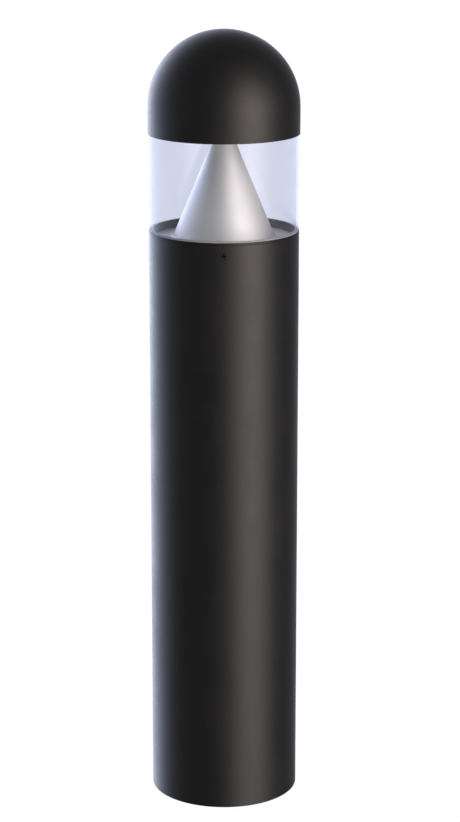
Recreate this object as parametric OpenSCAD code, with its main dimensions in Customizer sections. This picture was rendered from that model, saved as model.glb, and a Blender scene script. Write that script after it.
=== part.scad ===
// Dome-topped bollard light: a steel shaft on a base plate, and a lift-off head that holds a clear
// lens, a cone reflector, a light source and its driver. Millimetres, +Z up, origin at the centre
// of the base, front along -Y.

/* [Shaft] */
// Outside diameter of the shaft
shaft_d = 203.2; // [168:0.1:245]
// Length of the shaft tube
shaft_len = 795; // [640:1:960]
// Wall of the shaft tube
shaft_wall = 3.2; // [2.5:0.1:4.5]

/* [Base] */
// Thickness of the base plate
base_t = 10; // [6:0.5:16]
// Distance from the shaft's inner wall to the anchor bolt circle
anchor_inset = 25.4; // [20:0.1:31]
// Diameter of the anchor bolt holes
anchor_hole_d = 14.3; // [10:0.1:18]
// Diameter of the wire hole in the base plate
wire_hole_d = 76; // [50:1:80]
// Leg of the weld beads
weld_leg = 5; // [3:0.5:7]

/* [Lock screws] */
// Diameter of the lock screws
lock_d = 10; // [6:0.5:12]
// Distance from the shaft's top edge down to the lock screws
lock_drop = 14.5; // [13:0.5:30]
// How far the lock screws reach in past the shaft's inner wall
lock_reach = 3.8; // [3:0.1:6]

/* [Collar] */
// Thickness of the collar's flange
flange_t = 3; // [2:0.5:5]
// Length of the skirt that drops into the shaft
skirt_len = 60; // [45:1:80]
// Wall of the skirt
skirt_wall = 2.5; // [2:0.1:4]
// Height of the lip that centres the lens
lip_h = 1.5; // [1:0.1:3]
// Width of the lip that centres the lens
lip_w = 1.5; // [1:0.1:1.8]
// Thickness of the collar's floor
floor_t = 4; // [3:0.5:6]
// Depth of the reflector's brim below the flange's top
recess_depth = 9.5; // [6:0.5:12]

/* [Lens] */
// How far the lens stands in from the shaft's face
lens_inset = 1; // [0.5:0.1:1.2]
// Wall of the lens
lens_wall = 3.2; // [2.4:0.1:3.4]
// Height of the lens
lens_h = 131.5; // [110:0.5:160]
// Thickness of the lens gaskets
gasket_t = 1; // [0.8:0.1:2]

/* [Reflector] */
// Diameter of the cone where it meets its brim
cone_base_d = 138; // [90:1:150]
// Diameter of the cone's cut-off top
cone_top_d = 18; // [17:0.5:24]
// Thickness of the reflector's sheet
cone_t = 1.5; // [1:0.1:2]
// How far the cone's top stands above the dome's rim
cone_rise = 5.4; // [3:0.1:7]

/* [Stem] */
// Outside diameter of the stem
stem_d = 12; // [10:0.5:12]
// Bore of the stem
stem_bore_d = 8; // [7.6:0.1:8.5]

/* [Dome] */
// Wall of the dome
dome_wall = 3.5; // [2.5:0.1:5]
// Width of the dome's outer lip around the lens
dome_lip = 1.5; // [1:0.1:2]
// Height of the dome's straight side below its round crown
dome_straight = 36.1; // [30:0.1:60]
// Depth of the groove that holds the lens
groove_d = 3; // [2:0.5:5]

/* [Light source] */
// Thickness of the heat sink's plate
sink_t = 5; // [4:0.5:8]
// Height of the heat sink's fins
fin_h = 25; // [12:1:30]
// Number of fins
fin_count = 24; // [12:1:30]
// Number of light emitters
led_count = 12; // [6:6:12]
// Height of the heat sink above the dome's rim
sink_rise = 19.5; // [17:0.5:26]

/* [Driver] */
// Length of the driver's case
driver_len = 130; // [90:1:160]
// Width of the driver's case
driver_w = 44; // [40:1:52]
// Depth of the driver's case
driver_h = 30; // [26:1:40]
// Distance from the collar's floor down to the driver
driver_drop = 83; // [60:1:110]

/* [Hidden] */
$fn = 96;

// Clearances
slide_gap = 0.3;    // between pieces that drop into one another
thread_fit = 0.05;  // between a screw and its tapped hole, all round
hole_gap = 0.25;    // between a screw and a plain hole, all round
eps = 1;            // how far a cut runs past the face it opens

// Shaft and base
shaft_r = shaft_d / 2;
shaft_ri = shaft_r - shaft_wall;
plate_r = shaft_ri - 0.2;
anchor_r = shaft_ri - anchor_inset;
anchor_count = 4;
weld_count = 8;
weld_arc = 20;
stud_d = 6;
stud_len = 26;
stud_r = wire_hole_d / 2 + 16;
stud_seat = 1;
lug_t = 1.6;
lug_barrel_d = 7;
earth_washer_t = 1.2;

// Lock screws, one at the front and the others evenly round
lock_angles = [-90, 30, 150];
lock_z = shaft_len - lock_drop;
lock_tip_r = shaft_ri - lock_reach;
lock_face_r = shaft_r - 0.2;
lock_len = lock_face_r - lock_tip_r;
channel_r = lock_tip_r - slide_gap;
channel_w = lock_d + 2;
channel_top = lock_z + lock_d / 2 + 0.5;
channel_back = 3;

// Collar
skirt_z = shaft_len - skirt_len;
skirt_r = shaft_ri - slide_gap;
skirt_ri = skirt_r - skirt_wall;
lip_r = skirt_ri + lip_w;
collar_top = shaft_len + flange_t;
brim_top = collar_top - recess_depth;
floor_top = brim_top - cone_t;
floor_z = floor_top - floor_t;

// Lens and its gaskets
lens_r = shaft_r - lens_inset;
lens_ri = lens_r - lens_wall;
lens_z = collar_top + gasket_t;
lens_top = lens_z + lens_h;

// Dome
groove_top = lens_top + gasket_t;
dome_z = groove_top - groove_d;
dome_r = lens_r + slide_gap + dome_lip;
dome_ri = dome_r - dome_wall;
groove_ri = lens_ri - slide_gap;
rim_ri = groove_ri - 2.6;
rim_h = groove_d + 4.5;
crown_z = dome_z + dome_straight;

// Light source, stepped inwards from the dome's rim
sink_z = dome_z + sink_rise;
sink_top = sink_z + sink_t;
sink_r = rim_ri - 4.5;
fin_t = 2;
fin_ri = 40;
boss_r = 6;
boss_pcr = sink_r - 8;
cover_r = sink_r - 16;
cover_wall = 1.5;
cover_wall_r = cover_r - 8.5;
cover_ri = 19;
cover_floor = 2;
cover_z = sink_z - 10;
cover_gasket_t = 1;
cover_screw_r = cover_r - 4;
board_t = 1.6;
board_z = sink_z - board_t;
board_r = cover_wall_r - cover_wall - 2;
board_ri = cover_ri + cover_wall + 1.5;
board_screws = [[board_r - 4.5, 30], [board_ri + 5, 60]];
led_w = 5;
led_t = 2;
led_pcr = board_r - 12;
connector_size = [12, 8, 4];

// Wires that cross the heat sink on the +X side
wire_d = 2;
wire_pass_x = 30;
wire_pass_d = 7.2;
grommet_d = 12;

// Reflector cone
cone_base_r = cone_base_d / 2;
cone_top_r = cone_top_d / 2;
cone_top = dome_z + cone_rise;
cone_slope = (cone_base_r - cone_top_r) / (cone_top - brim_top);
cone_wall = cone_t * sqrt(1 + cone_slope * cone_slope);
spigot_r = cone_top_r - cone_wall - 0.18;

// Stem with its washers, nuts and bushings
stem_r = stem_d / 2;
stem_end = 4;
washer_t = 1.5;
washer_r = stem_r + 6;
nut_h = 7;
nut_af = stem_d + 7;
stem_z = floor_z - washer_t - nut_h - stem_end;
stem_top = sink_top + washer_t + nut_h + stem_end - 1.5;
bushing_bore_r = 3.2;
bushing_flange_t = 1.2;
bushing_len = 6;

// Driver bracket, hung from bosses under the collar's floor
bracket_t = 2;
bracket_w = 60;
bracket_boss_h = 8;
bracket_len = driver_drop + driver_len + 67;
bracket_top = floor_z - bracket_boss_h;
bracket_z = bracket_top - bracket_len;
bracket_front = -50;
bracket_y = 28;
bracket_places = [for (x = [-22, 22], y = [-40, 22]) [x, y]];

// Driver, with a tab at each end
driver_top = floor_z - driver_drop;
driver_z = driver_top - driver_len;
driver_y = bracket_y - driver_h;
tab_len = 10;
tab_t = 2;
driver_places = [
    for (x = [-16, 16], z = [driver_z - tab_len / 2, driver_top + tab_len / 2]) [x, z]
];

// Terminal block with three poles, below the driver
block_size = [34, 18, 20];
block_top = driver_z - 45;
block_z = block_top - block_size[2];
block_y = bracket_y - block_size[1];
pole_x = 10;
pole_y = bracket_y - 9;
bond_x = 25;
bond_z = block_z + 10;
ring_t = 0.8;
barrel_d = 4;
barrel_y = bracket_y - 0.2 - barrel_d / 2;
barrel_top = bond_z + 12;
mains_d = 2.4;

// Screws as [diameter, head diameter, head height]
m3 = [3, 5.5, 2.2];
m4 = [4, 7.5, 3];
m5 = [5, 9.5, 3.2];

black = "#2a2a2c";
zinc = "#b9bbbf";
steel = "#8d9094";

// ---------- shared shapes ----------

// Children repeated evenly round the Z axis, at a radius
module around(count, radius, first = 0) {
    for (i = [0:count - 1]) rotate([0, 0, first + i * 360 / count]) translate([radius, 0, 0])
        children();
}

// Children at each lock screw, with +X pointing out through the shaft
module at_lock(which = [0, 1, 2]) {
    for (i = which) rotate([0, 0, lock_angles[i]]) translate([0, 0, lock_z])
        rotate([0, 90, 0]) children();
}

// A ring of rectangular section
module ring(inner, outer, z, height) {
    rotate_extrude() translate([inner, z]) square([outer - inner, height]);
}

// A cross recess, open at z = 0 and sunk below it
module cross_recess(across, arm, depth) {
    for (a = [0, 90]) rotate([0, 0, a]) translate([-across / 2, -arm / 2, -depth])
        cube([across, arm, depth + eps]);
}

// A pan head screw: the head stands on z = 0 and the shank goes down
module pan_screw(size, shank) {
    difference() {
        rotate_extrude() polygon([
            [0, -shank], [size[0] / 2 - 0.4, -shank], [size[0] / 2, -shank + 0.4],
            [size[0] / 2, 0], [size[1] / 2, 0], [size[1] / 2, size[2] * 0.6],
            [size[1] / 2 - size[2] * 0.4, size[2]], [0, size[2]]
        ]);
        translate([0, 0, size[2]]) cross_recess(size[1] * 0.55, size[1] * 0.13, size[2] * 0.5);
    }
}

// The tapped hole for a screw: open at z = 0, going down
module tapped(size, depth) {
    translate([0, 0, -depth]) cylinder(h = depth + eps, d = size[0] + 2 * thread_fit);
}

// The plain hole for a screw through a plate whose top is at z = 0
module plain_hole(size, plate) {
    translate([0, 0, -plate - eps]) cylinder(h = plate + 2 * eps, d = size[0] + 2 * hole_gap);
}

// A hexagonal nut standing on z = 0, with its corners chamfered above
module hex_nut(across_flats, height, bore_d) {
    corner_r = across_flats / sqrt(3);
    difference() {
        intersection() {
            cylinder(h = height, r = corner_r, $fn = 6);
            rotate_extrude() polygon([
                [0, 0], [corner_r, 0], [corner_r, height - 0.8],
                [across_flats / 2 - 0.4, height], [0, height]
            ]);
        }
        translate([0, 0, -eps]) cylinder(h = height + 2 * eps, d = bore_d);
    }
}

// ---------- wires ----------

function unit(v) = v / norm(v);

// A corner at b, rounded over the length reach on either side
function corner(a, b, c, reach) =
    let (p = b + reach * unit(a - b), q = b + reach * unit(c - b))
    [for (t = [0:0.2:1]) (1 - t) * (1 - t) * p + 2 * t * (1 - t) * b + t * t * q];

function rounded(route, reach) = [
    route[0],
    for (i = [1:len(route) - 2]) each corner(route[i - 1], route[i], route[i + 1], reach),
    route[len(route) - 1]
];

function tangent(p, i) =
    i == 0 ? unit(p[1] - p[0])
    : i == len(p) - 1 ? unit(p[i] - p[i - 1])
    : unit(unit(p[i + 1] - p[i]) + unit(p[i] - p[i - 1]));

// One side direction per point, each carried on from the last so that the tube doesn't twist
function sides(p, i, u) =
    i == len(p) ? []
    : let (t = tangent(p, i), v = unit(u - (u * t) * t)) concat([v], sides(p, i + 1, v));

// A round wire along a route that starts straight up or down
module wire(route, diameter, reach) {
    n = 8;
    p = rounded(route, reach);
    s = sides(p, 0, [1, 0, 0]);
    last = len(p) - 1;
    skin = [
        for (i = [0:last], k = [0:n - 1]) let (b = cross(tangent(p, i), s[i]))
            p[i] + diameter / 2 * (cos(k * 360 / n) * s[i] + sin(k * 360 / n) * b)
    ];
    faces = [
        [for (k = [0:n - 1]) k],
        for (i = [0:last - 1], k = [0:n - 1]) let (m = (k + 1) % n)
            [i * n + k, (i + 1) * n + k, (i + 1) * n + m, i * n + m],
        [for (k = [n - 1:-1:0]) last * n + k]
    ];
    polyhedron(skin, faces);
}

// An LED wire: out of the driver's top, up through the stem, over and down to the board. It stands
// off the stem's axis by offset, and turns over the heat sink at the height crest.
module led_wire(offset, crest) {
    drop_x = wire_pass_x - offset * 1.2;
    wire([
        [offset * 5, bracket_y - driver_h / 2, driver_top],
        [offset * 5, bracket_y - driver_h / 2, driver_top + 20],
        [offset, 0, stem_z - 16],
        [offset, 0, crest],
        [drop_x, 0, crest],
        [drop_x, 0, board_z]
    ], wire_d, 7);
}

// A mains wire between the terminal block and the driver
module mains_wire(x) {
    inlet_y = bracket_y - driver_h / 2;
    wire([
        [x, pole_y, block_top], [x, pole_y, block_top + 14],
        [x, inlet_y, driver_z - 14], [x, inlet_y, driver_z]
    ], mains_d, 6);
}

// ---------- shaft and base ----------

module shaft_tube() color(black) difference() {
    rotate_extrude() polygon([
        [shaft_ri, 0], [shaft_r, 0], [shaft_r, shaft_len - 0.4], [shaft_r - 0.4, shaft_len],
        [shaft_ri, shaft_len]
    ]);
    at_lock() translate([0, 0, shaft_ri - 5]) cylinder(h = 15, d = lock_d + 2 * thread_fit);
}

module base_plate() color(black) difference() {
    cylinder(h = base_t, r = plate_r);
    translate([0, 0, -eps]) cylinder(h = base_t + 2 * eps, d = wire_hole_d);
    around(anchor_count, anchor_r, 45) translate([0, 0, -eps])
        cylinder(h = base_t + 2 * eps, d = anchor_hole_d);
}

module base_welds() color(steel) for (i = [0:weld_count - 1])
    rotate([0, 0, i * 360 / weld_count]) rotate_extrude(angle = weld_arc) polygon([
        [shaft_ri - 0.05 - weld_leg, base_t], [shaft_ri - 0.05, base_t],
        [shaft_ri - 0.05, base_t + weld_leg]
    ]);

// The earth stud stands at the back of the wire hole
module at_stud() translate([0, stud_r, base_t]) children();

module earth_stud() color(zinc) at_stud() rotate_extrude() polygon([
    [0, 0], [stud_d / 2 + 1, 0], [stud_d / 2 + 1, stud_seat], [stud_d / 2, stud_seat],
    [stud_d / 2, stud_len - 0.6], [stud_d / 2 - 0.6, stud_len], [0, stud_len]
]);

module earth_lug() color("#c98f4a") at_stud() translate([0, 0, stud_seat]) difference() {
    union() {
        cylinder(h = lug_t, r = stud_d / 2 + 4);
        translate([0, -stud_d / 2 - 2, 0]) cube([16, stud_d + 4, lug_t]);
        translate([14, 0, lug_barrel_d / 2]) rotate([0, 90, 0]) cylinder(h = 14, d = lug_barrel_d);
    }
    translate([0, 0, -eps]) cylinder(h = lug_t + 2 * eps, d = stud_d + 2 * hole_gap);
    translate([18, 0, lug_barrel_d / 2]) rotate([0, 90, 0])
        cylinder(h = 14, d = lug_barrel_d - 2.4);
}

module earth_washer() color(zinc) at_stud()
    ring(stud_d / 2 + hole_gap, stud_d, stud_seat + lug_t, earth_washer_t);

module earth_nut() color(zinc) at_stud() translate([0, 0, stud_seat + lug_t + earth_washer_t])
    hex_nut(10, 5, stud_d + 2 * thread_fit);

// ---------- lock screws ----------

module lock_screw(i) color(black) at_lock([i]) difference() {
    rotate_extrude() polygon([
        [0, lock_tip_r], [lock_d / 2 - 1.2, lock_tip_r], [lock_d / 2, lock_tip_r + 1.2],
        [lock_d / 2, lock_face_r - 0.4], [lock_d / 2 - 0.4, lock_face_r], [0, lock_face_r]
    ]);
    translate([0, 0, lock_face_r]) rotate([0, 0, 20])
        cross_recess(lock_d * 0.66, lock_d * 0.15, lock_len * 0.45);
}

module lock_screw_1() lock_screw(0);
module lock_screw_2() lock_screw(1);
module lock_screw_3() lock_screw(2);

// ---------- collar, lens and gaskets ----------

module collar_profile() polygon([
    [skirt_r - 0.8, skirt_z], [skirt_r, skirt_z + 0.8], [skirt_r, shaft_len],
    [shaft_r - 0.4, shaft_len], [shaft_r, shaft_len + 0.4], [shaft_r, collar_top - 0.4],
    [shaft_r - 0.4, collar_top], [lip_r, collar_top], [lip_r, collar_top + lip_h],
    [skirt_ri, collar_top + lip_h], [skirt_ri, floor_top], [stem_r + 0.2, floor_top],
    [stem_r + 0.2, floor_z], [skirt_ri, floor_z], [skirt_ri, skirt_z]
]);

module collar() color(black) difference() {
    union() {
        rotate_extrude() collar_profile();
        for (a = lock_angles) rotate([0, 0, a])
            translate([channel_r - channel_back, -channel_w / 2 - 4, skirt_z])
            cube([skirt_ri - channel_r + channel_back + 1, channel_w + 8, floor_z + 1 - skirt_z]);
        for (at = bracket_places) translate([at[0], at[1], bracket_top])
            cylinder(h = bracket_boss_h + 1, r = boss_r);
    }
    for (a = lock_angles) rotate([0, 0, a]) translate([channel_r, -channel_w / 2, skirt_z - eps])
        cube([10, channel_w, channel_top - skirt_z + eps]);
    for (at = bracket_places) translate([at[0], at[1], bracket_top]) mirror([0, 0, 1])
        tapped(m5, bracket_boss_h + 2);
}

module lens_gasket_lower() color("#d9dce2") ring(lens_ri, lens_r, collar_top, gasket_t);

module lens() color([0.86, 0.88, 0.95, 0.4]) ring(lens_ri, lens_r, lens_z, lens_h);

module lens_gasket_upper() color("#d9dce2") ring(lens_ri, lens_r, lens_top, gasket_t);

// ---------- reflector and stem ----------

module cone_reflector() color("silver") rotate_extrude() polygon([
    [cone_base_r - cone_wall + cone_t * cone_slope, floor_top], [skirt_ri - slide_gap, floor_top],
    [skirt_ri - slide_gap, brim_top], [cone_base_r, brim_top], [cone_top_r, cone_top],
    [cone_top_r - cone_wall, cone_top]
]);

module apex_nut() color("silver") rotate_extrude() polygon([
    [stem_r + thread_fit, cone_top - 2.5], [spigot_r, cone_top - 2.5], [spigot_r, cone_top],
    [cone_top_r, cone_top], [cone_top_r - 1, cone_top + 8], [stem_r + thread_fit, cone_top + 8]
]);

module stem() color(zinc) ring(stem_bore_d / 2, stem_r, stem_z, stem_top - stem_z);

module stem_washers() color(zinc) for (z = [floor_z - washer_t, sink_top])
    ring(stem_r + hole_gap, washer_r, z, washer_t);

module stem_nuts() color(zinc) {
    translate([0, 0, sink_top + washer_t]) hex_nut(nut_af, nut_h, stem_d + 2 * thread_fit);
    translate([0, 0, floor_z - washer_t]) mirror([0, 0, 1])
        hex_nut(nut_af, nut_h, stem_d + 2 * thread_fit);
}

// A bushing hangs into the stem's bore from a flange on z = 0
module bushing() rotate_extrude() polygon([
    [bushing_bore_r, -bushing_len], [stem_bore_d / 2 - thread_fit, -bushing_len],
    [stem_bore_d / 2 - thread_fit, 0], [stem_r, 0], [stem_r, bushing_flange_t],
    [bushing_bore_r, bushing_flange_t]
]);

module stem_bushings() color("#e8e6df") {
    translate([0, 0, stem_top]) bushing();
    translate([0, 0, stem_z]) mirror([0, 0, 1]) bushing();
}

// ---------- dome ----------

// The half-section of a round-topped solid from z = 0 up
module bullet(radius, straight) {
    square([radius, straight]);
    translate([0, straight]) intersection() {
        circle(r = radius, $fn = 180);
        square(radius);
    }
}

module dome_profile() translate([0, dome_z]) difference() {
    bullet(dome_r, dome_straight);
    translate([0, rim_h]) bullet(dome_ri, dome_straight - rim_h);
    translate([0, -eps]) square([rim_ri, rim_h + 2 * eps]);
    translate([groove_ri, -eps]) square([lens_r + slide_gap - groove_ri, groove_d + eps]);
    polygon([[dome_r - 0.5, 0], [dome_r - 0.5, -eps], [dome_r + eps, -eps], [dome_r, 0.5]]);
}

module dome() color(black) difference() {
    union() {
        rotate_extrude() dome_profile();
        intersection() {
            around(3, boss_pcr, 90) translate([0, 0, sink_top]) cylinder(h = dome_r, r = boss_r);
            translate([0, 0, crown_z]) sphere(r = dome_ri + 1);
        }
    }
    around(3, boss_pcr, 90) translate([0, 0, sink_top]) mirror([0, 0, 1]) tapped(m5, 18);
}

// ---------- light source ----------

module heat_sink() color("#c9ccd1") difference() {
    union() {
        translate([0, 0, sink_z]) cylinder(h = sink_t, r = sink_r);
        around(fin_count, fin_ri, 180 / fin_count) translate([0, -fin_t / 2, sink_top - 0.5])
            cube([cover_r - fin_ri, fin_t, fin_h + 0.5]);
    }
    translate([0, 0, sink_z - eps]) cylinder(h = sink_t + 2 * eps, r = stem_r + 0.2);
    translate([wire_pass_x, 0, sink_z - eps]) cylinder(h = sink_t + 2 * eps, d = grommet_d);
    around(3, boss_pcr, 90) translate([0, 0, sink_top]) plain_hole(m5, sink_t);
    translate([0, 0, sink_z]) mirror([0, 0, 1]) {
        around(6, cover_screw_r) tapped(m3, sink_t - 1);
        for (row = board_screws) around(3, row[0], row[1]) tapped(m3, sink_t - 1);
    }
}

module heat_sink_screws() color(zinc) around(3, boss_pcr, 90) translate([0, 0, sink_z])
    mirror([0, 0, 1]) pan_screw(m5, sink_t + 13);

module led_board() color("#f2f2ee") difference() {
    ring(board_ri, board_r, board_z, board_t);
    for (row = board_screws) around(3, row[0], row[1]) translate([0, 0, sink_z])
        plain_hole(m3, board_t);
    translate([wire_pass_x, 0, board_z - eps]) cylinder(h = board_t + 2 * eps, d = wire_pass_d);
}

module leds() color("#f5d76e") around(led_count, led_pcr, 180 / led_count)
    translate([-led_w / 2, -led_w / 2, board_z - led_t]) cube([led_w, led_w, led_t]);

module led_connector() color("white")
    translate([wire_pass_x, 0, board_z - connector_size[2] / 2]) cube(connector_size, center = true);

module led_board_screws() color(zinc) for (row = board_screws) around(3, row[0], row[1])
    translate([0, 0, board_z]) mirror([0, 0, 1]) pan_screw(m3, board_t + sink_t - 1.5);

module led_cover() color([0.95, 0.96, 1, 0.5]) difference() {
    rotate_extrude() polygon([
        [cover_ri, cover_z], [cover_wall_r, cover_z],
        [cover_wall_r, sink_z - cover_gasket_t - 2], [cover_r, sink_z - cover_gasket_t - 2],
        [cover_r, sink_z - cover_gasket_t], [cover_wall_r - cover_wall, sink_z - cover_gasket_t],
        [cover_wall_r - cover_wall, cover_z + cover_floor],
        [cover_ri + cover_wall, cover_z + cover_floor], [cover_ri + cover_wall, sink_z],
        [cover_ri, sink_z]
    ]);
    around(6, cover_screw_r) translate([0, 0, sink_z - cover_gasket_t]) plain_hole(m3, 2);
}

module led_cover_gasket() color("#3a3a3c") difference() {
    ring(cover_wall_r - cover_wall, cover_r, sink_z - cover_gasket_t, cover_gasket_t);
    around(6, cover_screw_r) translate([0, 0, sink_z]) plain_hole(m3, cover_gasket_t);
}

module led_cover_screws() color(zinc) around(6, cover_screw_r)
    translate([0, 0, sink_z - cover_gasket_t - 2]) mirror([0, 0, 1])
    pan_screw(m3, cover_gasket_t + 2 + sink_t - 1.5);

// The grommet's sleeve lines the heat sink's hole and its flange rests on the plate
module wire_grommet() color("#1e1e20") translate([wire_pass_x, 0, sink_top]) rotate_extrude()
    polygon([
        [wire_pass_d / 2, -sink_t], [grommet_d / 2 - 0.1, -sink_t], [grommet_d / 2 - 0.1, 0],
        [grommet_d / 2 + 2, 0], [grommet_d / 2 + 2, 1.5], [wire_pass_d / 2, 1.5]
    ]);

// ---------- driver and its bracket ----------

module driver_bracket() color(zinc) difference() {
    union() {
        translate([-bracket_w / 2, bracket_front, bracket_top - bracket_t])
            cube([bracket_w, bracket_y + bracket_t - bracket_front, bracket_t]);
        translate([-bracket_w / 2, bracket_y, bracket_z])
            cube([bracket_w, bracket_t, bracket_len]);
    }
    translate([0, 0, bracket_top - bracket_t - eps])
        cylinder(h = bracket_t + 2 * eps, r = washer_r + 8);
    for (at = bracket_places) translate([at[0], at[1], bracket_top]) plain_hole(m5, bracket_t);
    for (at = driver_places) on_bracket(at) tapped(m4, bracket_t + eps);
    for (x = [-pole_x / 2, pole_x / 2]) on_bracket([x, block_z + 10]) tapped(m3, bracket_t + eps);
    on_bracket([bond_x, bond_z]) tapped(m4, bracket_t + eps);
}

// Children on the bracket's front face at [x, z], with +Z pointing to the front
module on_bracket(at, stand_off = 0) translate([at[0], bracket_y - stand_off, at[1]])
    rotate([90, 0, 0]) children();

module bracket_screws() color(zinc) for (at = bracket_places)
    translate([at[0], at[1], bracket_top - bracket_t]) mirror([0, 0, 1])
    pan_screw(m5, bracket_t + bracket_boss_h);

module driver() color("#e9e9e6") difference() {
    union() {
        translate([-driver_w / 2, driver_y, driver_z]) cube([driver_w, driver_h, driver_len]);
        translate([-driver_w / 2, bracket_y - tab_t, driver_z - tab_len])
            cube([driver_w, tab_t, driver_len + 2 * tab_len]);
    }
    for (at = driver_places) on_bracket(at, tab_t) plain_hole(m4, tab_t);
}

module driver_screws() color(zinc) for (at = driver_places) on_bracket(at, tab_t)
    pan_screw(m4, tab_t + bracket_t + 2);

module terminal_block() color("#dedbd0") difference() {
    translate([-block_size[0] / 2, block_y, block_z]) cube(block_size);
    for (x = [-pole_x / 2, pole_x / 2]) on_bracket([x, block_z + 10], block_size[1])
        plain_hole(m3, block_size[1]);
    for (x = [-pole_x, 0, pole_x]) {
        on_bracket([x, block_z + 10], block_size[1]) translate([0, 0, -4])
            cylinder(h = 4 + eps, d = 4.6);
        translate([x, pole_y, block_z - eps]) cylinder(h = 5 + eps, d = 4);
    }
}

module terminal_block_screws() color(zinc) for (x = [-pole_x / 2, pole_x / 2])
    on_bracket([x, block_z + 10], block_size[1])
    pan_screw([3, 4.2, 1.8], block_size[1] + bracket_t + 1);

// The clamp screws lie in the block's front holes, one to a pole
module terminal_clamp_screws() color(steel) for (x = [-pole_x, 0, pole_x])
    on_bracket([x, block_z + 10], block_size[1]) translate([0, 0, -4]) difference() {
        cylinder(h = 3, d = 4.5);
        translate([-3, -0.4, 2.2]) cube([6, 0.8, 2]);
    }

module bond_terminal() color("#b8bcc2") difference() {
    union() {
        on_bracket([bond_x, bond_z]) cylinder(h = ring_t, r = 4);
        translate([bond_x - 2, bracket_y - ring_t, bond_z]) cube([4, ring_t, 8]);
        translate([bond_x, barrel_y, bond_z + 5])
            cylinder(h = barrel_top - bond_z - 5, d = barrel_d);
    }
    on_bracket([bond_x, bond_z], ring_t) plain_hole(m4, ring_t);
}

module bond_screw() color(zinc) on_bracket([bond_x, bond_z], ring_t)
    pan_screw([4, 6.8, 2.6], ring_t + bracket_t + 2);

module line_wire() color("#4a2f1c") mains_wire(-pole_x);
module neutral_wire() color("#2b5fa8") mains_wire(0);

module bond_wire() color("#4f9a3a") wire([
    [pole_x, pole_y, block_top], [pole_x, pole_y, block_top + 22],
    [bond_x, barrel_y, block_top + 22], [bond_x, barrel_y, barrel_top]
], mains_d, 6);

module led_wire_positive() color("#b3261e") led_wire(1.3, stem_top + 16);
module led_wire_negative() color("#1c1c1e") led_wire(-1.3, stem_top + 23);

// ---------- assembly ----------

shaft_tube();
base_plate();
base_welds();
earth_stud();
earth_lug();
earth_washer();
earth_nut();
lock_screw_1();
lock_screw_2();
lock_screw_3();
collar();
lens_gasket_lower();
lens();
lens_gasket_upper();
cone_reflector();
apex_nut();
stem();
stem_washers();
stem_nuts();
stem_bushings();
dome();
heat_sink();
heat_sink_screws();
led_board();
leds();
led_connector();
led_board_screws();
led_cover();
led_cover_gasket();
led_cover_screws();
wire_grommet();
driver_bracket();
bracket_screws();
driver();
driver_screws();
terminal_block();
terminal_block_screws();
terminal_clamp_screws();
bond_terminal();
bond_screw();
line_wire();
neutral_wire();
bond_wire();
led_wire_positive();
led_wire_negative();
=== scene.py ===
# %% [markdown]
# # A dome-topped bollard light
# The real object is a black steel post with a lamp in its head. A collar drops into the top of the
# post, and on it stand a clear lens with a satin cone inside, and a black dome that holds the light.
# The engineering model is loaded first, as a fixed frame in metres. Every piece made here goes where
# that frame says, and the pieces that are plain already, or hidden, stay and only get a finish.

# %% Load the frame
import math

import bmesh
import bpy
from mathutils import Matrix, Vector


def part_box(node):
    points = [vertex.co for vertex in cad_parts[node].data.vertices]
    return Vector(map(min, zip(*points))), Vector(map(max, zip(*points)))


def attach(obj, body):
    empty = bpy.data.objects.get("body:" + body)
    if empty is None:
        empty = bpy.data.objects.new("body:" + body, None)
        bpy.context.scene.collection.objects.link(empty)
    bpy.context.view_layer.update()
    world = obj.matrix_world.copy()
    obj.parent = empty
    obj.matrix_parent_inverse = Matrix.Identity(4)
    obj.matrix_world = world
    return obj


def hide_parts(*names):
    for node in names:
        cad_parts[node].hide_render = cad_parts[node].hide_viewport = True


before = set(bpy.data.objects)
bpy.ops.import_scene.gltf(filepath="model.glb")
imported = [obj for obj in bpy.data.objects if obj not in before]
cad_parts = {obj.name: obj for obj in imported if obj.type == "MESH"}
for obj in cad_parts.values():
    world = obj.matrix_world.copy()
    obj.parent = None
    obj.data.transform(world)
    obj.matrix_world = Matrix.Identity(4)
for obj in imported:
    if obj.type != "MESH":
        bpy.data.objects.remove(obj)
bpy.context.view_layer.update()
MM = 0.001


# %% [markdown]
# ## Sizes
# A drawing for a lathe is easiest to read in millimetres, so the frame's boxes are turned into
# millimetres once, and each size that several pieces share gets a name. What fits into something
# else then takes its place from the same number.

# %% Read the sizes off the frame
def lowest(node):
    """The lowest corner of a node's box, in millimetres."""
    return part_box(node)[0] / MM


def highest(node):
    """The highest corner of a node's box, in millimetres."""
    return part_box(node)[1] / MM


SHAFT_WALL = LENS_WALL = 3.2
shaft_r = highest("shaft_tube").x
shaft_top = highest("shaft_tube").z
shaft_bore_r = shaft_r - SHAFT_WALL
collar_top = lowest("lens_gasket_lower").z
lens_r = highest("lens").x
lens_bore_r = lens_r - LENS_WALL
lens_low, lens_high = lowest("lens").z, highest("lens").z
brim_r = highest("cone_reflector").x
cone_low, cone_high = lowest("cone_reflector").z, highest("cone_reflector").z
dome_r, dome_low, dome_high = highest("dome").x, lowest("dome").z, highest("dome").z
lock_height = (lowest("lock_screw_1").z + highest("lock_screw_1").z) / 2
lock_face, lock_tip = -lowest("lock_screw_1").y, -highest("lock_screw_1").y
lock_r = (highest("lock_screw_1").x - lowest("lock_screw_1").x) / 2
LOCKS = {"front": -90, "right": 30, "left": 150}  # bearings in degrees from +X
print(f"shaft {shaft_r:.1f} x {shaft_top:.1f}, lens {lens_r:.1f}, dome {dome_r:.1f} to {dome_high:.1f}, "
      f"screws r {lock_r:.2f} at {lock_height:.1f} from {lock_tip:.1f} to {lock_face:.1f} mm")


# %% [markdown]
# ## Camera
# A long lens from a little over three metres, a head higher than the lamp and looking down on it, so
# that the rims open into flat ellipses. The camera comes first, because everything else is judged
# through it.

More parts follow.
